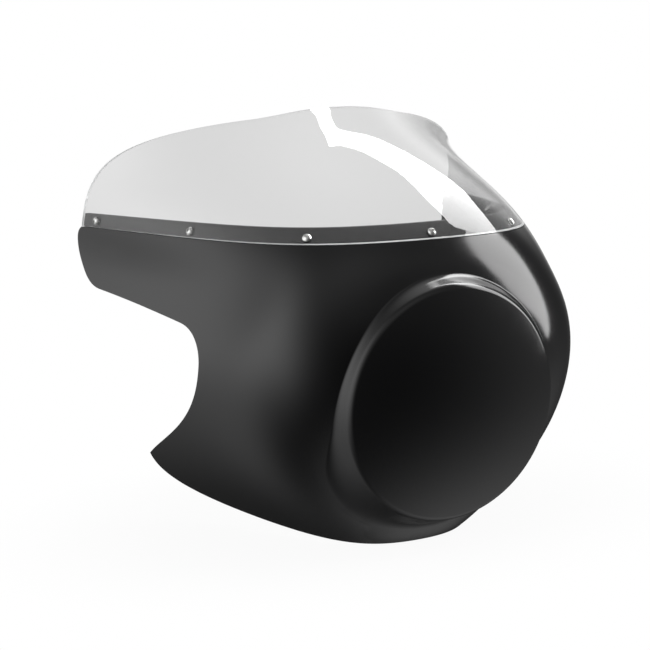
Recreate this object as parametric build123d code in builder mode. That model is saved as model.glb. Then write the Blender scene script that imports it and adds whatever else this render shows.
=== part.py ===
from build123d import *
import os
from math import cos, hypot, radians, sin, tan

os.makedirs("parts", exist_ok=True)

# Headlight cowl of a cafe racer: a moulded shell with a blank lamp boss and a clear bubble screen.
# Millimetres, +Z up, the nose points to -Y. The origin lies on the boss axis, in the middle of the lamp seat.

# Moulded shell
wall = 3.5                  # thickness of the moulding
joggle_z = 131.0            # height of the step that the screen's lower edge stops against
flange_height = 12.0        # recessed flange above the step, which the screen overlaps

# Clear screen
screen_thickness = 3.0
seat_clearance = 0.3        # between the screen and the flange that carries it
step_clearance = 0.6        # between the screen's lower edge and the step

# Lamp boss
boss_radius = 99.2          # round wall of the boss
boss_tilt = 3.4             # the face looks down by this many degrees
seat_depth = 6.9            # from the wall's front edge back to the middle of the lamp seat
dome_height = 17.1          # rise of the face over that edge
rim_round = 7.0             # rolled rim between the face and the wall
boss_root = 60.0            # how far behind its edge the boss runs into the body
boss_fillet = 5.0           # hollow fillet where the boss grows out of the body

# Screen screws: M4 button heads with a hex socket, and plain nuts
screw_distances = (-351.0, -234.0, -97.0, 0.0, 107.0, 224.0, 351.0)   # along the flange from the nose
screw_diameter = 4.0
screw_length = 12.0
head_diameter = 7.6
head_height = 2.2
head_clearance = 0.05       # under the head, on the curved screen
socket_width = 2.5          # across flats
socket_depth = 1.3
hole_clearance = 0.5        # on the hole's diameter
nut_width = 7.0             # across flats
nut_height = 3.2
nut_clearance = 0.3         # a flat nut in a hollow curve
thread_clearance = 0.2      # on the nut's bore

# Level sections of the whole form, from the chin to above the screen's top edge. Each is a mirrored
# curve that leaves the nose square to the centre line and ends at the rear plane on a flared straight.
# height, nose set-back, front handle, half-width at the rear plane, side handle, side flare in degrees
levels = (
    (-130.0, 52.0, 79.0, 121.0, 190.0, 15.0),
    (-90.0, 27.5, 143.0, 163.5, 213.0, 15.0),
    (-45.0, 9.0, 188.0, 195.0, 228.0, 15.0),
    (0.0, -6.0, 204.0, 211.0, 231.0, 15.0),
    (50.0, -9.0, 207.0, 208.0, 234.0, 15.0),
    (95.0, 0.0, 186.0, 193.0, 227.0, 15.0),
    (143.0, 29.0, 124.0, 194.0, 216.0, 15.0),
    (175.0, 72.0, 101.0, 194.0, 192.0, 26.0),
    (205.0, 123.0, 76.0, 196.0, 161.0, 41.0),
    (222.0, 153.0, 66.0, 194.0, 143.0, 49.0),
    (238.0, 181.0, 65.0, 187.0, 128.0, 55.0),
)
rear_plane = 293.0
rear_run = 30.0             # straight run of the flanks behind the rear plane
handle_share = 0.55         # a bend's handle shortens by this share of the depth it moves in

# Side outline of the shell, in (Y, Z), and the handles of its curves
chin = (22.0, -131.7)
chin_handle = (73.8, 15.3)
tip = (223.2, -64.3)        # pointed end of the lower wing
tip_low_handle = (24.0, -53.3)
tip_high_handle = (-47.5, 26.4)
cutout = (103.6, 32.5)      # foremost point of the cut-out for the fork and bars
cutout_low_handle = (0.0, -47.4)
cutout_high_handle = (0.0, 13.3)
shelf_front = (139.5, 63.2)
shelf_rear = (266.7, 77.9)
shelf_front_reach = 0.19    # handles along the shelf's line, as shares of its length
shelf_rear_reach = 0.17
wing_rear = (302.7, 115.2)  # rearmost point of the upper wing
wing_low_handle = (0.0, -17.0)
wing_high_handle = (0.0, 8.0)
wing_top = 295.0            # where the wing's rear edge meets the step
wing_top_handle = (6.0, -3.0)
flange_rear = 291.6         # where the flange's top edge ends

# Side outline of the screen's rear and top edge, in (Y, Z), and the handles of its curves
screen_rear_handle = (-11.2, 47.8)
screen_shoulder = (189.8, 224.4)
shoulder_rear_handle = (55.7, -11.6)
shoulder_front_handle = (-10.2, 2.0)
screen_peak = (170.9, 236.8)
peak_handle = (1.5, -5.4)

# Derived sizes
flange_top = joggle_z + flange_height
recess = screen_thickness + seat_clearance
screw_z = joggle_z + flange_height / 2
hole_radius = (screw_diameter + hole_clearance) / 2
chin_floor = levels[0][0]
form_top = levels[-1][0]
clear = 20.0                # overrun of cutting shapes past what they cut
half_span = max(level[3] for level in levels) + rear_run + clear
outline_front = -seat_depth - dome_height - clear


def ahead(point, handle):
    """Point that a curve's handle reaches from one of its ends."""
    return (point[0] + handle[0], point[1] + handle[1])


def section(index, depth, run):
    """Closed level section, drawn in by a depth that is measured square to the surface."""
    height, nose, front, width, side, flare_degrees = levels[index]
    below = levels[max(index - 1, 0)]
    above = levels[min(index + 1, len(levels) - 1)]
    rise = above[0] - below[0]
    flare = radians(flare_degrees)
    nose = nose + depth * hypot(1, (above[1] - below[1]) / rise)
    width = width - depth * hypot(1, (above[3] - below[3]) / rise) / cos(flare)
    front = front - handle_share * depth
    side = side - handle_share * depth
    with BuildSketch(Plane.XY.offset(height)) as level_face:
        with BuildLine():
            flank = Bezier(
                (0, nose),
                (front, nose),
                (width - side * sin(flare), rear_plane - side * cos(flare)),
                (width, rear_plane),
            )
            straight = Line(flank @ 1, (width + run * tan(flare), rear_plane + run))
            Line(straight @ 1, (0, rear_plane + run))
            mirror(about=Plane.YZ)
        make_face()
    return level_face.sketch


def form(depth, run, low, high):
    """The whole form, drawn in by a depth, between two heights."""
    sections = [section(index, depth, run) for index in range(len(levels))]
    with BuildPart() as body:
        loft(sections=sections)
        split(bisect_by=Plane.XY.offset(low), keep=Keep.TOP)
        split(bisect_by=Plane.XY.offset(high), keep=Keep.BOTTOM)
    return body.part


def boss(depth, root):
    """Lamp boss as a solid of revolution, drawn in by a depth and tilted about the lamp seat."""
    with BuildPart() as body:
        with BuildSketch(Plane.XY):
            with BuildLine():
                face_curve = ThreePointArc((-boss_radius, 0), (0, -dome_height), (boss_radius, 0))
                side = Line(face_curve @ 1, (boss_radius, root + depth))
                Polyline(side @ 1, (-boss_radius, root + depth), face_curve @ 0)
            make_face()
            fillet(vertices().group_by(Axis.Y)[0], rim_round)
            if depth > 0:
                offset(amount=-depth, kind=Kind.INTERSECTION, mode=Mode.REPLACE)
            split(bisect_by=Plane.YZ, keep=Keep.TOP)
        revolve(axis=Axis.Y)
    return body.part.moved(Location((0, -seat_depth, 0))).rotate(Axis.X, boss_tilt)


outer_low = form(0, rear_run, chin_floor, joggle_z)
flange_band = form(recess, rear_run, joggle_z, flange_top)
hollow_low = form(wall, rear_run + clear, chin_floor, joggle_z - wall)
hollow_high = form(recess + wall, rear_run + clear, joggle_z - wall, flange_top)
screen_outside = form(0, rear_run, joggle_z + step_clearance, form_top)
screen_hollow = form(screen_thickness, rear_run + clear, joggle_z, form_top)
boss_outside = boss(0, boss_root)
boss_pocket = boss(wall, boss_root + clear)

# Screw axes: on the screen's outer face, square to it, to both sides of the nose.
# Each nut sits on the same axis where it comes through the flange.
outer_face = screen_outside.faces().sort_by(Axis.Y)[0]
inner_face = hollow_high.faces().sort_by(Axis.Y)[0]
screw_line = outer_face.intersect(Plane.XY.offset(screw_z)).edges()[0]
screw_planes = []
nut_planes = []
for distance in screw_distances:
    seat = screw_line.position_at(screw_line.length / 2 + distance, PositionMode.LENGTH)
    outward = outer_face.normal_at(seat)
    exits = [point for point, normal in inner_face.find_intersection_points(Axis(seat, -outward))]
    nut_seat = min(exits, key=lambda point: (point - seat).length)
    screw_planes.append(Plane(seat, z_dir=outward))
    nut_planes.append(Plane(nut_seat, z_dir=outward))

# Shell: body below the step, recessed flange above it, domed boss in front, hollow behind
with BuildPart() as fairing_shell:
    add(outer_low)
    add(boss_outside)
    boss_line = edges(Select.LAST).filter_by(GeomType.BSPLINE)
    fillet(boss_line, boss_fillet)
    add(flange_band)
    add(hollow_low, mode=Mode.SUBTRACT)
    add(hollow_high, mode=Mode.SUBTRACT)
    add(boss_pocket, mode=Mode.SUBTRACT)
    with BuildSketch(Plane.YZ):
        with BuildLine():
            shelf = Line(shelf_front, shelf_rear)
            front = Line((outline_front, chin[1]), chin)
            belly = Bezier(chin, ahead(chin, chin_handle), ahead(tip, tip_low_handle), tip)
            cut_low = Bezier(tip, ahead(tip, tip_high_handle), ahead(cutout, cutout_low_handle), cutout)
            cut_high = Bezier(
                cutout,
                ahead(cutout, cutout_high_handle),
                shelf @ -shelf_front_reach,
                shelf_front,
            )
            wing_end = Bezier(
                shelf_rear,
                shelf @ (1 + shelf_rear_reach),
                ahead(wing_rear, wing_low_handle),
                wing_rear,
            )
            wing_corner = Bezier(
                wing_rear,
                ahead(wing_rear, wing_high_handle),
                ahead((wing_top, joggle_z), wing_top_handle),
                (wing_top, joggle_z),
            )
            Polyline(
                wing_corner @ 1,
                (flange_rear, flange_top),
                (flange_rear, flange_top + clear),
                (outline_front, flange_top + clear),
                front @ 0,
            )
        make_face()
    extrude(amount=half_span, both=True, mode=Mode.INTERSECT)
    with Locations(*screw_planes):
        Cylinder(hole_radius, 2 * clear, mode=Mode.SUBTRACT)
fairing_shell.part.label = "fairing_shell"
export_step(fairing_shell.part, "parts/fairing_shell.step")

# Screen: one formed sheet, flush with the body at the step, flared along its top edge
with BuildPart() as windscreen:
    add(screen_outside)
    add(screen_hollow, mode=Mode.SUBTRACT)
    with BuildSketch(Plane.YZ):
        with BuildLine():
            lower = Line((-clear, joggle_z), (wing_top, joggle_z))
            rear_edge = Line(lower @ 1, (flange_rear, flange_top))
            rear_bend = Bezier(
                rear_edge @ 1,
                ahead((flange_rear, flange_top), screen_rear_handle),
                ahead(screen_shoulder, shoulder_rear_handle),
                screen_shoulder,
            )
            top_edge = Bezier(
                screen_shoulder,
                ahead(screen_shoulder, shoulder_front_handle),
                ahead(screen_peak, peak_handle),
                screen_peak,
            )
            Polyline(
                top_edge @ 1,
                (screen_peak[0], form_top + clear),
                (-clear, form_top + clear),
                lower @ 0,
            )
        make_face()
    extrude(amount=half_span, both=True, mode=Mode.INTERSECT)
    with Locations(*screw_planes):
        Cylinder(hole_radius, 2 * clear, mode=Mode.SUBTRACT)
windscreen.part.label = "windscreen"
export_step(windscreen.part, "parts/windscreen.step")

# One screw: domed head outside its seat, shank inwards, hex socket in the head
head_top = head_clearance + head_height
with BuildPart() as screw:
    with BuildSketch(Plane.XZ):
        with BuildLine():
            Polyline(
                (0, head_top),
                (0, -screw_length),
                (screw_diameter / 2, -screw_length),
                (screw_diameter / 2, head_clearance),
                (head_diameter / 2, head_clearance),
            )
            ThreePointArc((-head_diameter / 2, head_clearance), (0, head_top), (head_diameter / 2, head_clearance))
        make_face()
        split(bisect_by=Plane.YZ, keep=Keep.TOP)
    revolve(axis=Axis.Z)
    with BuildSketch(Plane.XY.offset(head_top - socket_depth)):
        RegularPolygon(socket_width / 2, 6, major_radius=False)
    extrude(amount=socket_depth, mode=Mode.SUBTRACT)

# One nut, its seat face towards the flange
with BuildPart() as nut:
    with BuildSketch(Plane.XY.offset(-nut_clearance)):
        RegularPolygon(nut_width / 2, 6, major_radius=False)
        Circle((screw_diameter + thread_clearance) / 2, mode=Mode.SUBTRACT)
    extrude(amount=-nut_height)

with BuildPart() as screen_screws:
    with Locations(*screw_planes):
        add(screw.part)
screen_screws.part.label = "screen_screws"
export_step(screen_screws.part, "parts/screen_screws.step")

with BuildPart() as screen_nuts:
    with Locations(*nut_planes):
        add(nut.part)
screen_nuts.part.label = "screen_nuts"
export_step(screen_nuts.part, "parts/screen_nuts.step")
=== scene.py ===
import math

import bmesh
import bpy
import numpy as np
from mathutils import Matrix, Vector


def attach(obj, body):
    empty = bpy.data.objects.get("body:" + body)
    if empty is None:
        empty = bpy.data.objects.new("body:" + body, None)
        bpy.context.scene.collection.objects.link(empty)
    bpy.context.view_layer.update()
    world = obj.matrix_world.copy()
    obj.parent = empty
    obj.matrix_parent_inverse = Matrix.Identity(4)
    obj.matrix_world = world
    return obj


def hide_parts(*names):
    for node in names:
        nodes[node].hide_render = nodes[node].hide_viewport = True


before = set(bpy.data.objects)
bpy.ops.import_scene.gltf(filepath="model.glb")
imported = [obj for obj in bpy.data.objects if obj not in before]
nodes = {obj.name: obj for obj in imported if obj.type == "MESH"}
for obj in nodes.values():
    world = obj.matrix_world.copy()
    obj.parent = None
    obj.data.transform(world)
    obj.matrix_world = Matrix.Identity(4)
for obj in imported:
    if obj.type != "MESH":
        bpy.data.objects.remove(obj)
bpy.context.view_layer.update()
scene = bpy.context.scene
scene.view_settings.view_transform = "Standard"

MM = 0.001

# Camera, fitted to the photograph
AZIMUTH = math.radians(-29.37)
ELEVATION = math.radians(9.4)
ROLL = math.radians(-1.02)
AIM = Vector((-0.06547, 0.08623, 0.05803))
DISTANCE = 1.5
LENS = 100.09

FLOOR_Z = -0.1276

# The form's level sections, in millimetres, as the part's source has them:
# height, nose set-back, front handle, half-width at the rear plane, side handle, side flare in degrees
LEVELS = (
    (-130.0, 52.0, 79.0, 121.0, 190.0, 15.0),
    (-90.0, 27.5, 143.0, 163.5, 213.0, 15.0),
    (-45.0, 9.0, 188.0, 195.0, 228.0, 15.0),
    (0.0, -6.0, 204.0, 211.0, 231.0, 15.0),
    (50.0, -9.0, 207.0, 208.0, 234.0, 15.0),
    (95.0, 0.0, 186.0, 193.0, 227.0, 15.0),
    (143.0, 29.0, 124.0, 194.0, 216.0, 15.0),
    (175.0, 72.0, 101.0, 194.0, 192.0, 26.0),
    (205.0, 123.0, 76.0, 196.0, 161.0, 41.0),
    (222.0, 153.0, 66.0, 194.0, 143.0, 49.0),
    (238.0, 181.0, 65.0, 187.0, 128.0, 55.0),
)
REAR_PLANE = 293.0
REAR_RUN = 60.0
HANDLE_SHARE = 0.55
WALL = 3.5
SCREEN_THICKNESS = 3.0
RECESS = 3.3
BOSS_RADIUS = 99.2
BOSS_TILT = math.radians(3.4)
SEAT_DEPTH = 6.9
DOME_HEIGHT = 17.07
RIM_ROUND = 7.0

# Side of the boss: slope in degrees, and the depth over which its foot blends into the shell.
# Each has an extra share below the boss.
SIDE_SLOPE = 72.0
SIDE_SLOPE_BELOW = 1.0
FILLET_BLEND = 5.0
FILLET_BLEND_BELOW = 18.0
FILLET_START = 95.0
FILLET_RUN_IN = 5.0

# Patch that takes the place of the boss in the outer skin
PATCH_RADIUS = 120.0
PATCH_DEPTH = 75.0
PATCH_STEP = 2.2
PATCH_RUN_OUT = 100.0
SIDE_RINGS = (PATCH_RADIUS - 1.2, 91.5, 50)
FACE_RINGS = (89.5, 5.0, 22)
SLOPE_STEP = 0.02
EDGE_SMOOTHING = math.radians(4)

# Limits in degrees for the normals of a copy: to take a surface's own, and to run on over an edge
SURFACE_ANGLE = 9
SMOOTH_ANGLE = 34

# Soft patches of the studio: azimuth, elevation, tightness, strength
LIGHT_PATCHES = (
    (-140, 15, 8.0, 1.1),
    (-100, 0, 8.0, 1.2),
    (-80, 30, 8.0, 1.3),
    (-60, 0, 8.0, 1.0),
    (-120, -40, 8.0, 0.48),
    (0, 50, 8.0, 0.43),
    (60, 15, 8.0, 0.3),
    (50, -60, 8.0, 0.75),
    (80, -40, 8.0, 0.30),
    (150, 62, 10.0, 0.9),
    (140, 28, 10.0, 0.45),
    (123, 27, 60.0, 0.8),
    (138, 3, 100.0, 0.6),
)
STUDIO_BASE = 0.01

# Softboxes: azimuth, elevation, distance, radiance, and the outline of the front
STRIP = (68, 22, 1.5, 7.0, (
    (-0.50, 0.06), (-0.40, -0.20), (-0.16, -0.47), (0.11, -0.92), (0.20, -0.30), (0.24, 0.00), (0.42, 0.40),
    (0.50, 0.70), (-0.08, 0.70),
))
TOP = (108, 46, 1.5, 10.0, (
    (-0.62, -0.23), (-0.21, -0.19), (0.00, -0.19), (0.14, -0.225), (0.233, -0.189), (0.272, -0.139), (0.299, -0.09),
    (0.31, -0.026), (0.314, 0.048), (0.319, 0.162), (0.328, 0.245), (0.345, 0.329), (0.354, 0.352), (0.366, 0.27),
    (0.393, 0.27), (0.393, 0.52), (0.378, 0.50), (0.328, 0.374), (0.278, 0.259), (0.236, 0.213), (0.18, 0.18),
    (0.115, 0.183), (0.012, 0.201), (-0.139, 0.223), (-0.62, 0.26),
))

# Floor sheet, in metres: two corners, the round of its corners, and the ellipse in which it is solid
FLOOR_LOW = (-0.50, -0.20)
FLOOR_HIGH = (0.55, 0.75)
FLOOR_ROUND = 0.10
FLOOR_MIDDLE = (0, 0.16, FLOOR_Z)
FLOOR_REACH = (0.46, 0.34, 1.0)


def direction(azimuth, elevation):
    """Unit vector: azimuth 0 looks out of the nose, 90 to the right flank; elevation is above the floor."""
    a = math.radians(azimuth)
    e = math.radians(elevation)
    return Vector((math.sin(a) * math.cos(e), -math.cos(a) * math.cos(e), math.sin(e)))


def add_camera():
    back = Vector((
        math.sin(AZIMUTH) * math.cos(ELEVATION),
        -math.cos(AZIMUTH) * math.cos(ELEVATION),
        math.sin(ELEVATION),
    ))
    right = Vector((math.cos(AZIMUTH), math.sin(AZIMUTH), 0))
    up = back.cross(right)
    rolled_right = right * math.cos(ROLL) + up * math.sin(ROLL)
    rolled_up = up * math.cos(ROLL) - right * math.sin(ROLL)
    data = bpy.data.cameras.new("camera")
    data.lens = LENS
    data.sensor_width = 36
    data.clip_start = 0.05
    data.clip_end = 50
    camera = bpy.data.objects.new("camera", data)
    scene.collection.objects.link(camera)
    matrix = Matrix((rolled_right, rolled_up, back)).transposed().to_4x4()
    matrix.translation = AIM + back * DISTANCE
    camera.matrix_world = matrix
    scene.camera = camera


# Exact normals of the form, so that its reflections run as smoothly as on the moulding


def spline_slopes(heights, values):
    """Second derivatives of a natural cubic spline through rows of values."""
    count = len(heights)
    gap = np.diff(heights)
    system = np.zeros((count, count))
    load = np.zeros_like(values)
    system[0, 0] = system[-1, -1] = 1.0
    for i in range(1, count - 1):
        system[i, i - 1] = gap[i - 1]
        system[i, i] = 2 * (gap[i - 1] + gap[i])
        system[i, i + 1] = gap[i]
        load[i] = 6 * ((values[i + 1] - values[i]) / gap[i] - (values[i] - values[i - 1]) / gap[i - 1])
    return np.linalg.solve(system, load)


def control_rows(depth):
    """Each level's curve as five control points (x, y), drawn in by a depth."""
    rows = []
    for i, (height, nose, front, width, side, flare) in enumerate(LEVELS):
        below = LEVELS[max(i - 1, 0)]
        above = LEVELS[min(i + 1, len(LEVELS) - 1)]
        rise = above[0] - below[0]
        flare = math.radians(flare)
        nose = nose + depth * math.hypot(1, (above[1] - below[1]) / rise)
        width = width - depth * math.hypot(1, (above[3] - below[3]) / rise) / math.cos(flare)
        front = front - HANDLE_SHARE * depth
        side = side - HANDLE_SHARE * depth
        rows.append((
            0, nose, front, nose,
            width - side * math.sin(flare), REAR_PLANE - side * math.cos(flare),
            width, REAR_PLANE,
            width + REAR_RUN * math.tan(flare), REAR_PLANE + REAR_RUN,
        ))
    return np.array(rows)


class Form:
    """Surface of the whole form at one depth."""

    def __init__(self, depth):
        self.heights = np.array([level[0] for level in LEVELS])
        self.values = control_rows(depth)
        self.bends = spline_slopes(self.heights, self.values)

    def controls(self, z):
        """Control points and their change with height."""
        z = np.clip(z, self.heights[0], self.heights[-1])
        i = np.clip(np.searchsorted(self.heights, z) - 1, 0, len(self.heights) - 2)
        gap = (self.heights[i + 1] - self.heights[i])[:, None]
        b = (z - self.heights[i])[:, None] / gap
        a = 1 - b
        low, high = self.values[i], self.values[i + 1]
        bend_low, bend_high = self.bends[i], self.bends[i + 1]
        at = a * low + b * high + ((a ** 3 - a) * bend_low + (b ** 3 - b) * bend_high) * gap ** 2 / 6
        slope = (high - low) / gap + ((1 - 3 * a ** 2) * bend_low + (3 * b ** 2 - 1) * bend_high) * gap / 6
        return at.reshape(-1, 5, 2), slope.reshape(-1, 5, 2)

    @staticmethod
    def along(points, t):
        """Point and tangent of the curve: 0 to 1 on the flank, 1 to 2 on the straight run."""
        t = t[..., None]
        u = np.clip(t, 0, 1)
        c0, c1, c2, c3, c4 = (points[..., k, :] for k in range(5))
        bend = (1 - u) ** 3 * c0 + 3 * (1 - u) ** 2 * u * c1 + 3 * (1 - u) * u ** 2 * c2 + u ** 3 * c3
        tangent = 3 * ((1 - u) ** 2 * (c1 - c0) + 2 * (1 - u) * u * (c2 - c1) + u ** 2 * (c3 - c2))
        run = np.clip(t - 1, 0, None)
        return bend + run * (c4 - c3), tangent

    def normals(self, co):
        """Distance from the surface and outward unit normals at points in millimetres."""
        at, slope = self.controls(co[:, 2])
        target = np.stack((np.abs(co[:, 0]), co[:, 1]), -1)
        t = np.zeros(len(co))
        step = 1 / 40
        best = np.full(len(co), np.inf)
        for k in range(60):
            trial = np.full(len(co), k * step)
            point, _ = self.along(at, trial)
            away = ((point - target) ** 2).sum(-1)
            closer = away < best
            best = np.where(closer, away, best)
            t = np.where(closer, trial, t)
        for _ in range(24):
            step *= 0.6
            for side in (-step, step):
                trial = np.clip(t + side, 0, 2)
                point, _ = self.along(at, trial)
                away = ((point - target) ** 2).sum(-1)
                closer = away < best
                best = np.where(closer, away, best)
                t = np.where(closer, trial, t)
        _, tangent = self.along(at, t)
        lift, _ = self.along(slope, t)
        normal = np.stack((tangent[:, 1], -tangent[:, 0], tangent[:, 0] * lift[:, 1] - tangent[:, 1] * lift[:, 0]), -1)
        normal[:, 0] *= np.where(co[:, 0] < 0, -1, 1)
        normal /= np.linalg.norm(normal, axis=1)[:, None]
        return np.sqrt(best), normal


def boss_normals(co, depth):
    """Distance from the boss, drawn in by a depth, and outward unit normals at points in millimetres."""
    cos, sin = math.cos(BOSS_TILT), math.sin(BOSS_TILT)
    x = co[:, 0]
    y = co[:, 1] * cos + co[:, 2] * sin + SEAT_DEPTH
    z = -co[:, 1] * sin + co[:, 2] * cos
    r = np.maximum(np.hypot(x, z), 1e-9)
    sphere = (BOSS_RADIUS ** 2 + DOME_HEIGHT ** 2) / (2 * DOME_HEIGHT)
    middle = sphere - DOME_HEIGHT
    ring = BOSS_RADIUS - RIM_ROUND
    ring_y = middle - math.sqrt((sphere - RIM_ROUND) ** 2 - ring ** 2)
    parts = (
        (r, y - middle, sphere - depth),
        (r - ring, y - ring_y, RIM_ROUND - depth),
        (r, np.zeros_like(r), BOSS_RADIUS - depth),
    )
    best = np.full(len(co), np.inf)
    out = np.zeros((len(co), 3))
    for across, ahead, radius in parts:
        length = np.maximum(np.hypot(across, ahead), 1e-9)
        away = np.abs(length - radius)
        closer = away < best
        best = np.where(closer, away, best)
        radial, axial = across / length, ahead / length
        local = np.stack((radial * x / r, axial, radial * z / r), -1)
        out = np.where(closer[:, None], local, out)
    turned = np.stack((out[:, 0], out[:, 1] * cos - out[:, 2] * sin, out[:, 1] * sin + out[:, 2] * cos), -1)
    return best, turned


def to_boss(co):
    """World millimetres to the boss's own axes: across, depth behind the face edge, up."""
    cos, sin = math.cos(BOSS_TILT), math.sin(BOSS_TILT)
    return np.stack((co[:, 0], co[:, 1] * cos + co[:, 2] * sin + SEAT_DEPTH, co[:, 2] * cos - co[:, 1] * sin), -1)


def from_boss(local):
    cos, sin = math.cos(BOSS_TILT), math.sin(BOSS_TILT)
    y = local[:, 1] - SEAT_DEPTH
    return np.stack((local[:, 0], y * cos - local[:, 2] * sin, y * sin + local[:, 2] * cos), -1)


def nose_depth(form, across, up):
    """Depth of the shell's own surface, along the boss's axis."""
    depth = np.full(len(across), 10.0)
    for _ in range(5):
        world = from_boss(np.stack((across, depth, up), -1))
        at, _ = form.controls(world[:, 2])
        target = np.abs(across)
        low, high = np.zeros(len(across)), np.full(len(across), 0.8)
        for _ in range(30):
            middle = (low + high) / 2
            point, _ = form.along(at, middle)
            short = point[:, 0] < target
            low = np.where(short, middle, low)
            high = np.where(short, high, middle)
        point, _ = form.along(at, low)
        depth = depth + (point[:, 1] - world[:, 1]) / math.cos(BOSS_TILT)
    return depth


def boss_depth(across, up):
    """Depth of the boss's face: a dome, a rolled rim and a side with moulding draft."""
    r = np.hypot(across, up)
    sphere = (BOSS_RADIUS ** 2 + DOME_HEIGHT ** 2) / (2 * DOME_HEIGHT)
    middle = sphere - DOME_HEIGHT
    ring = BOSS_RADIUS - RIM_ROUND
    ring_y = middle - math.sqrt((sphere - RIM_ROUND) ** 2 - ring ** 2)
    below = np.clip(-up / np.maximum(r, 1e-6), 0, 1)
    side = np.radians(SIDE_SLOPE + SIDE_SLOPE_BELOW * below ** 2)
    roll_start = ring * sphere / (sphere - RIM_ROUND)
    roll_end = ring + RIM_ROUND * np.sin(side)
    dome = middle - np.sqrt(sphere ** 2 - np.minimum(r, sphere * 0.9) ** 2)
    roll = ring_y - np.sqrt(np.maximum(RIM_ROUND ** 2 - np.clip(r - ring, 0, RIM_ROUND) ** 2, 0))
    cone = ring_y - RIM_ROUND * np.cos(side) + (r - roll_end) * np.tan(side)
    return np.where(r < roll_start, dome, np.where(r < roll_end, roll, cone))


def blended_depth(form, across, up):
    """The shell's surface and the boss's, joined by a fillet that widens below the boss."""
    shell_side = nose_depth(form, across, up)
    boss_side = boss_depth(across, up)
    r = np.hypot(across, up)
    below = np.clip(-up / np.maximum(r, 1e-6), 0, 1)
    below = np.clip((below - 0.12) / 0.4, 0, 1)
    blend = FILLET_BLEND + FILLET_BLEND_BELOW * below ** 2 * (3 - 2 * below)
    near = np.clip(blend - np.abs(shell_side - boss_side), 0, None) / blend
    fade = np.clip((r - FILLET_START) / FILLET_RUN_IN, 0, 1)
    return np.minimum(shell_side, boss_side) - near ** 2 * blend / 4 * fade ** 2 * (3 - 2 * fade)


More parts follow.
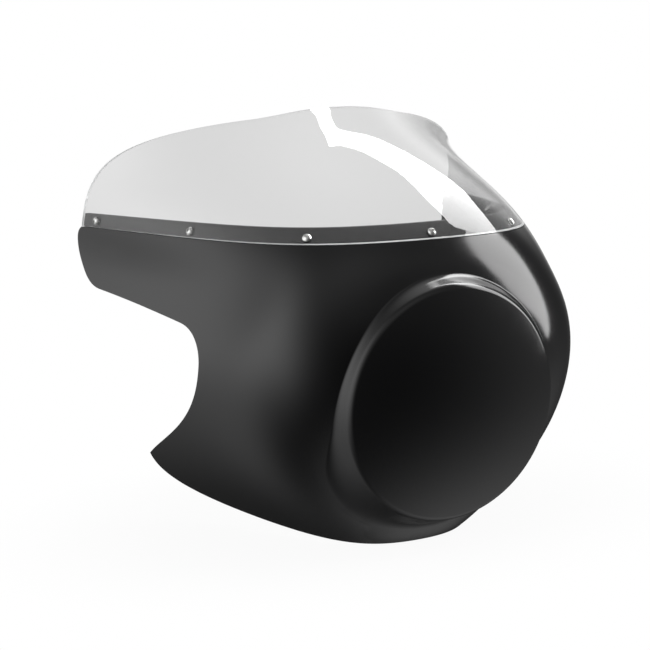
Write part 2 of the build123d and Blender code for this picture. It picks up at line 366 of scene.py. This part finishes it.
def rebuild_boss(work):
    """Cuts the boss out of the outer skin and fills the round hole with a fine, drafted boss.
    Gives the new faces and the exact normals of their points."""
    work.verts.ensure_lookup_table()
    placed = to_boss(np.array([v.co for v in work.verts]) / MM)
    local = {v: Vector(place) for v, place in zip(work.verts, placed)}
    tilt = Matrix.Rotation(-BOSS_TILT, 3, "X")

    def reach(p):
        return math.hypot(p.x, p.z)

    def is_outer(face):
        normal = tilt @ face.normal
        middle = Vector((0, 0, 0))
        for v in face.verts:
            middle += local[v] / len(face.verts)
        if middle.y > PATCH_DEPTH or reach(middle) > PATCH_RADIUS + 60:
            return False
        radial = (normal.x * middle.x + normal.z * middle.z) / max(reach(middle), 1e-6)
        return radial > 0.7 or (normal.y < -0.02 and radial > -0.5)

    outer = {face for face in work.faces if is_outer(face)}
    crossing = set()
    for face in outer:
        for edge in face.edges:
            first, second = (reach(local[v]) < PATCH_RADIUS for v in edge.verts)
            if first != second:
                crossing.add(edge)
    touched = {}
    for edge in crossing:
        faces = [f for f in edge.link_faces if f in outer]
        start = edge.verts[0]
        a, b = local[start], local[edge.verts[1]]
        low, high = 0.0, 1.0
        inside_first = reach(a) < PATCH_RADIUS
        for _ in range(40):
            share = (low + high) / 2
            if (reach(a.lerp(b, share)) < PATCH_RADIUS) == inside_first:
                low = share
            else:
                high = share
        _, fresh = bmesh.utils.edge_split(edge, start, share)
        local[fresh] = a.lerp(b, share)
        for face in faces:
            touched.setdefault(face, []).append(fresh)
    for face, pair in touched.items():
        if len(pair) == 2:
            other, _ = bmesh.utils.face_split(face, pair[0], pair[1])
            outer.add(other)
    inside = [
        face for face in outer
        if all(reach(local[v]) < PATCH_RADIUS + 1e-3 for v in face.verts)
    ]
    bmesh.ops.delete(work, geom=inside, context="FACES")
    rim = [
        e for e in work.edges
        if len(e.link_faces) == 1 and all(abs(reach(local[v]) - PATCH_RADIUS) < 1e-2 for v in e.verts)
    ]
    for edge in rim:
        pieces = max(1, round(edge.calc_length() / MM / PATCH_STEP))
        for k in range(pieces, 1, -1):
            start = edge.verts[0]
            a, b = local[start], local[edge.verts[1]]
            share = 1 / k
            other, fresh = bmesh.utils.edge_split(edge, start, share)
            local[fresh] = a.lerp(b, share)
            if edge.calc_length() < other.calc_length():
                edge = other
    loop = [v for v in work.verts if v.is_boundary]
    loop.sort(key=lambda v: math.atan2(local[v].z, local[v].x))
    angle = np.array([math.atan2(local[v].z, local[v].x) for v in loop])
    form = Form(0)
    across = np.array([local[v].x for v in loop])
    up = np.array([local[v].z for v in loop])
    proud = np.array([local[v].y for v in loop]) - nose_depth(form, across, up)
    turn = np.abs(angle[:, None] - angle[None, :])
    weight = np.exp(-(np.minimum(turn, 2 * math.pi - turn) / EDGE_SMOOTHING) ** 2)
    proud = weight @ proud / weight.sum(1)
    wrapped = np.concatenate((angle - 2 * math.pi, angle, angle + 2 * math.pi))
    proud = np.concatenate((proud, proud, proud))

    def shaped(across, up):
        """Depth of the patch, which runs out into the CAD skin at its edge."""
        share = np.clip((np.hypot(across, up) - PATCH_RUN_OUT) / (PATCH_RADIUS - PATCH_RUN_OUT), 0, 1)
        share = share ** 2 * (3 - 2 * share)
        return blended_depth(form, across, up) + share * np.interp(np.arctan2(up, across), wrapped, proud)

    def placed_ring(across, up):
        """World points and outward normals of the patch."""
        depth = shaped(across, up)
        slope_x = (shaped(across + SLOPE_STEP, up) - depth) / SLOPE_STEP
        slope_z = (shaped(across, up + SLOPE_STEP) - depth) / SLOPE_STEP
        normal = np.stack((slope_x, -np.ones(len(depth)), slope_z), -1)
        normal /= np.linalg.norm(normal, axis=1)[:, None]
        return from_boss(np.stack((across, depth, up), -1)) * MM, [tilt.transposed() @ Vector(n) for n in normal]

    normals = {}
    for v, co, normal in zip(loop, *placed_ring(across, up)):
        v.co = co
        normals[v] = normal
    rings = np.concatenate((np.linspace(*SIDE_RINGS), np.linspace(*FACE_RINGS)))
    faces = []
    last = loop
    count = len(loop)
    for radius in rings:
        world, normal = placed_ring(radius * np.cos(angle), radius * np.sin(angle))
        ring = [work.verts.new(co) for co in world]
        normals.update(zip(ring, normal))
        for i in range(count):
            j = (i + 1) % count
            faces.append(work.faces.new((last[i], last[j], ring[j], ring[i])))
        last = ring
    top = work.verts.new(from_boss(np.array([[0.0, -DOME_HEIGHT, 0.0]]))[0] * MM)
    normals[top] = tilt.transposed() @ Vector((0, -1, 0))
    for i in range(count):
        faces.append(work.faces.new((last[i], last[(i + 1) % count], top)))
    return faces, normals


def smooth_copy(node_name, name, surfaces, reach, rebuild=None):
    """Copy of a CAD node with the exact normals of the named surfaces. Other faces are smoothed over soft edges."""
    work = bmesh.new()
    work.from_mesh(nodes[node_name].data)
    bmesh.ops.remove_doubles(work, verts=work.verts, dist=2e-6)
    fresh_faces, fresh_normals = rebuild(work) if rebuild else ([], {})
    bmesh.ops.triangulate(work, faces=[f for f in work.faces if len(f.verts) > 4])
    work.verts.index_update()
    work.faces.index_update()
    fresh_faces = [f.index for f in fresh_faces]
    fresh_normals = {v.index: n for v, n in fresh_normals.items()}
    mesh = bpy.data.meshes.new(name)
    work.to_mesh(mesh)
    work.free()
    count = len(mesh.vertices)
    co = np.zeros(count * 3)
    mesh.vertices.foreach_get("co", co)
    co = co.reshape(-1, 3) / MM
    faces = len(mesh.polygons)
    face_normal = np.zeros(faces * 3)
    mesh.polygons.foreach_get("normal", face_normal)
    face_normal = face_normal.reshape(-1, 3)
    area = np.zeros(faces)
    mesh.polygons.foreach_get("area", area)
    corner_vertex = np.zeros(len(mesh.loops), int)
    mesh.loops.foreach_get("vertex_index", corner_vertex)
    totals = np.zeros(faces, int)
    mesh.polygons.foreach_get("loop_total", totals)
    corner_face = np.repeat(np.arange(faces), totals)
    corner_normal = face_normal[corner_face].copy()
    done = np.zeros(len(corner_vertex), bool)
    exact = np.zeros((count, 3))
    has_exact = np.zeros(count, bool)
    if fresh_faces:
        for vertex, normal in fresh_normals.items():
            exact[vertex] = normal
            has_exact[vertex] = True
        fresh = np.isin(corner_face, fresh_faces)
        corner_normal[fresh] = exact[corner_vertex[fresh]]
        done |= fresh
    for measure, sign in surfaces:
        away, normal = measure(co)
        normal = normal * sign
        fits = away[corner_vertex] < reach
        facing = (normal[corner_vertex] * face_normal[corner_face]).sum(-1) > math.cos(math.radians(SURFACE_ANGLE))
        misfits = np.bincount(corner_face, weights=~(fits & facing), minlength=faces)
        whole = (misfits == 0)[corner_face] & ~done
        corner_normal[whole] = normal[corner_vertex[whole]]
        done |= whole
        exact[corner_vertex[whole]] = normal[corner_vertex[whole]]
        has_exact[corner_vertex[whole]] = True
    rest = np.nonzero(~done)[0]
    limit = math.cos(math.radians(SMOOTH_ANGLE))
    by_vertex = {}
    for corner in rest:
        by_vertex.setdefault(corner_vertex[corner], []).append(corner)
    for vertex, corners in by_vertex.items():
        own = face_normal[corner_face[corners]]
        weight = area[corner_face[corners]]
        for k, corner in enumerate(corners):
            if has_exact[vertex] and own[k] @ exact[vertex] > limit:
                corner_normal[corner] = exact[vertex]
                continue
            near = own @ own[k] > limit
            mean = (own[near] * weight[near][:, None]).sum(0)
            length = np.linalg.norm(mean)
            if length > 0:
                corner_normal[corner] = mean / length
    mesh.polygons.foreach_set("use_smooth", np.ones(faces, bool))
    mesh.normals_split_custom_set(corner_normal.tolist())
    mesh.update()
    copy = bpy.data.objects.new(name, mesh)
    scene.collection.objects.link(copy)
    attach(copy, "root")
    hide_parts(node_name)
    return copy, face_normal, done, corner_face


def link(tree, out_node, out_name, in_node, in_name):
    tree.links.new(out_node.outputs[out_name], in_node.inputs[in_name])


def math_node(tree, operation, first, second=None):
    """Math node whose inputs are sockets or numbers."""
    node = tree.nodes.new("ShaderNodeMath")
    node.operation = operation
    for index, value in enumerate((first, second)):
        if value is None:
            continue
        if isinstance(value, (int, float)):
            node.inputs[index].default_value = value
        else:
            tree.links.new(value, node.inputs[index])
    return node.outputs[0]


def ranged(tree, value, low, high, from_low=0.0, from_high=1.0, smooth=False):
    node = tree.nodes.new("ShaderNodeMapRange")
    if smooth:
        node.interpolation_type = "SMOOTHSTEP"
    node.inputs["From Min"].default_value = from_low
    node.inputs["From Max"].default_value = from_high
    node.inputs["To Min"].default_value = low
    node.inputs["To Max"].default_value = high
    tree.links.new(value, node.inputs["Value"])
    return node.outputs["Result"]


def facing_node(tree, coordinate, azimuth, elevation):
    """Cosine of the angle from a direction."""
    dot = tree.nodes.new("ShaderNodeVectorMath")
    dot.operation = "DOT_PRODUCT"
    tree.links.new(coordinate, dot.inputs[0])
    dot.inputs[1].default_value = direction(azimuth, elevation)
    return dot.outputs["Value"]


def lobe(tree, coordinate, azimuth, elevation, tightness, strength):
    """Soft patch of light round a direction."""
    away = math_node(tree, "SUBTRACT", facing_node(tree, coordinate, azimuth, elevation), 1.0)
    power = math_node(tree, "EXPONENT", math_node(tree, "MULTIPLY", away, tightness))
    return math_node(tree, "MULTIPLY", power, strength)


def add_world():
    """White for the camera and through the clear screen. For light and reflections a dim studio:
    soft patches, the broadest on the left, and a white backdrop panel where the camera looks."""
    world = bpy.data.worlds.new("studio")
    world.use_nodes = True
    tree = world.node_tree
    tree.nodes.clear()
    output = tree.nodes.new("ShaderNodeOutputWorld")
    mix = tree.nodes.new("ShaderNodeMixShader")
    studio = tree.nodes.new("ShaderNodeBackground")
    white = tree.nodes.new("ShaderNodeBackground")
    studio.inputs["Color"].default_value = (1, 1, 1, 1)
    white.inputs["Color"].default_value = (1, 1, 1, 1)
    white.inputs["Strength"].default_value = 1.0
    coordinate = tree.nodes.new("ShaderNodeTexCoord").outputs["Generated"]
    total = STUDIO_BASE
    for patch in LIGHT_PATCHES:
        total = math_node(tree, "ADD", lobe(tree, coordinate, *patch), total)
    tree.links.new(total, studio.inputs["Strength"])
    path = tree.nodes.new("ShaderNodeLightPath")
    panel = ranged(tree, facing_node(tree, coordinate, 150.6, -2.0), 0, 1, 0.985, 0.992, True)
    glossy = math_node(tree, "MULTIPLY", path.outputs["Is Glossy Ray"], panel)
    seen = math_node(tree, "MAXIMUM", path.outputs["Is Camera Ray"], path.outputs["Is Transmission Ray"])
    seen = math_node(tree, "MAXIMUM", seen, glossy)
    tree.links.new(seen, mix.inputs[0])
    tree.links.new(studio.outputs[0], mix.inputs[1])
    tree.links.new(white.outputs[0], mix.inputs[2])
    link(tree, mix, "Shader", output, "Surface")
    scene.world = world


def add_softbox(name, azimuth, elevation, distance, radiance, outline, on_floor=True):
    """Flat softbox that faces the object. The outline of its front is in metres: rearwards, up.
    Its corners are rounded."""
    for _ in range(2):
        outline = [
            (a[0] * share + b[0] * (1 - share), a[1] * share + b[1] * (1 - share))
            for a, b in zip(outline, outline[1:] + outline[:1]) for share in (0.75, 0.25)
        ]
    out = direction(azimuth, elevation)
    side = Vector((0, 0, 1)).cross(out).normalized()
    up = out.cross(side)
    points = [AIM + out * distance + side * h + up * v for h, v in outline]
    mesh = bpy.data.meshes.new(name)
    mesh.from_pydata(points, [], [tuple(range(len(points)))])
    panel = bpy.data.objects.new(name, mesh)
    scene.collection.objects.link(panel)
    material = bpy.data.materials.new(name)
    material.use_nodes = True
    tree = material.node_tree
    tree.nodes.clear()
    output = tree.nodes.new("ShaderNodeOutputMaterial")
    glow = tree.nodes.new("ShaderNodeEmission")
    glow.inputs["Color"].default_value = (1, 1, 1, 1)
    glow.inputs["Strength"].default_value = radiance
    link(tree, glow, "Emission", output, "Surface")
    mesh.materials.append(material)
    panel.visible_camera = False
    panel.visible_transmission = False
    panel.visible_diffuse = on_floor


def add_floor():
    """White paper sheet with round corners. The camera sees it as white, with the object's soft shadow."""
    left, front = (side + FLOOR_ROUND for side in FLOOR_LOW)
    right, rear = (side - FLOOR_ROUND for side in FLOOR_HIGH)
    outline = []
    for cx, cy, start in ((right, rear, 0), (left, rear, 90), (left, front, 180), (right, front, 270)):
        for k in range(13):
            a = math.radians(start + 7.5 * k)
            outline.append((cx + FLOOR_ROUND * math.cos(a), cy + FLOOR_ROUND * math.sin(a), FLOOR_Z))
    mesh = bpy.data.meshes.new("floor")
    mesh.from_pydata(outline, [], [tuple(range(len(outline)))])
    floor = bpy.data.objects.new("floor", mesh)
    scene.collection.objects.link(floor)
    material = bpy.data.materials.new("floor_white")
    material.use_nodes = True
    tree = material.node_tree
    tree.nodes.clear()
    output = tree.nodes.new("ShaderNodeOutputMaterial")
    mix = tree.nodes.new("ShaderNodeMixShader")
    paint = tree.nodes.new("ShaderNodeBsdfDiffuse")
    paint.inputs["Color"].default_value = (0.8, 0.8, 0.8, 1)
    glow = tree.nodes.new("ShaderNodeEmission")
    glow.inputs["Color"].default_value = (1, 1, 1, 1)
    glow.inputs["Strength"].default_value = 1.0
    position = tree.nodes.new("ShaderNodeNewGeometry").outputs["Position"]
    offset = tree.nodes.new("ShaderNodeVectorMath")
    offset.operation = "SUBTRACT"
    tree.links.new(position, offset.inputs[0])
    offset.inputs[1].default_value = FLOOR_MIDDLE
    scaled = tree.nodes.new("ShaderNodeVectorMath")
    scaled.operation = "DIVIDE"
    tree.links.new(offset.outputs[0], scaled.inputs[0])
    scaled.inputs[1].default_value = FLOOR_REACH
    length = tree.nodes.new("ShaderNodeVectorMath")
    length.operation = "LENGTH"
    tree.links.new(scaled.outputs[0], length.inputs[0])
    share = ranged(tree, length.outputs["Value"], 0.94, 1.0, 0.30, 0.95, True)
    # The floor sheet runs from lit paint near the object to clear further out, so its shadow and the light it bounces
    # fade with distance.
    floor_fade = ranged(tree, length.outputs["Value"], 0.0, 1.0, 0.45, 0.98, True)
    clear = tree.nodes.new("ShaderNodeBsdfTransparent")
    sheet = tree.nodes.new("ShaderNodeMixShader")
    tree.links.new(floor_fade, sheet.inputs[0])
    tree.links.new(paint.outputs[0], sheet.inputs[1])
    tree.links.new(clear.outputs[0], sheet.inputs[2])
    path = tree.nodes.new("ShaderNodeLightPath")
    seen = math_node(tree, "MAXIMUM", path.outputs["Is Camera Ray"], path.outputs["Is Transmission Ray"])
    tree.links.new(math_node(tree, "MULTIPLY", seen, share), mix.inputs[0])
    tree.links.new(sheet.outputs[0], mix.inputs[1])
    tree.links.new(glow.outputs[0], mix.inputs[2])
    link(tree, mix, "Shader", output, "Surface")
    mesh.materials.append(material)
    floor.visible_glossy = False


def new_material(name):
    material = bpy.data.materials.new(name)
    material.use_nodes = True
    tree = material.node_tree
    return material, tree, tree.nodes["Principled BSDF"]


def noise(tree, scale, detail=2.0, roughness=0.5):
    coordinate = tree.nodes.new("ShaderNodeTexCoord")
    node = tree.nodes.new("ShaderNodeTexNoise")
    node.inputs["Scale"].default_value = scale
    node.inputs["Detail"].default_value = detail
    node.inputs["Roughness"].default_value = roughness
    link(tree, coordinate, "Object", node, "Vector")
    return node.outputs["Fac"]


def shell_material():
    material, tree, shader = new_material("shell_black")
    shader.inputs["Base Color"].default_value = (0.004, 0.004, 0.0043, 1)
    shader.inputs["IOR"].default_value = 1.5
    tree.links.new(ranged(tree, noise(tree, 60, 3.0), 0.10, 0.16), shader.inputs["Roughness"])
    bump = tree.nodes.new("ShaderNodeBump")
    bump.inputs["Strength"].default_value = 0.02
    bump.inputs["Distance"].default_value = 0.0004
    tree.links.new(noise(tree, 900, 2.0), bump.inputs["Height"])
    link(tree, bump, "Normal", shader, "Normal")
    return material


def screen_material():
    material, tree, shader = new_material("screen_clear")
    shader.inputs["Base Color"].default_value = (0.71, 0.71, 0.71, 1)
    shader.inputs["IOR"].default_value = 1.49
    shader.inputs["Transmission Weight"].default_value = 1.0
    tree.links.new(ranged(tree, noise(tree, 80, 3.0), 0.0, 0.02), shader.inputs["Roughness"])
    return material


# Cut edges of the screen: a rough, opaque white that stands in for the light the clear acrylic edges catch, a painted
# highlight.
def edge_highlight_material():
    material, tree, shader = new_material("screen_edge_highlight")
    shader.inputs["Base Color"].default_value = (0.85, 0.86, 0.86, 1)
    shader.inputs["IOR"].default_value = 1.49
    tree.links.new(ranged(tree, noise(tree, 700, 3.0), 0.25, 0.5), shader.inputs["Roughness"])
    return material


def steel_material(name, colour):
    material, tree, shader = new_material(name)
    shader.inputs["Base Color"].default_value = (*colour, 1)
    shader.inputs["Metallic"].default_value = 1.0
    tree.links.new(ranged(tree, noise(tree, 1500, 3.0), 0.15, 0.35), shader.inputs["Roughness"])
    return material


def dress(node_name, material):
    node = nodes[node_name]
    node.data.materials.clear()
    node.data.materials.append(material)


add_camera()
add_world()
add_softbox("right_strip", *STRIP)
add_softbox("right_top", *TOP, on_floor=False)
add_floor()

shell, _, _, _ = smooth_copy("fairing_shell", "shell_moulding", (
    (Form(0).normals, 1),
    (Form(RECESS).normals, 1),
    (lambda co: boss_normals(co, 0), 1),
    (Form(WALL).normals, -1),
    (Form(RECESS + WALL).normals, -1),
    (lambda co: boss_normals(co, WALL), -1),
), 2.2, rebuild_boss)
shell.data.materials.append(shell_material())

screen, face_normal, done, corner_face = smooth_copy("windscreen", "screen_bubble", (
    (Form(0).normals, 1),
    (Form(SCREEN_THICKNESS).normals, -1),
), 1.4)
screen.data.materials.append(screen_material())
screen.data.materials.append(edge_highlight_material())
# Faces off the two clear surfaces, the cut edges, take the second material: opaque white, a painted highlight.
clear_faces = set(corner_face[done].tolist())
for polygon in screen.data.polygons:
    polygon.material_index = 0 if polygon.index in clear_faces else 1
screen.visible_shadow = False

dress("screen_screws", steel_material("screw_steel", (0.62, 0.62, 0.61)))
dress("screen_nuts", steel_material("nut_steel", (0.6, 0.6, 0.59)))
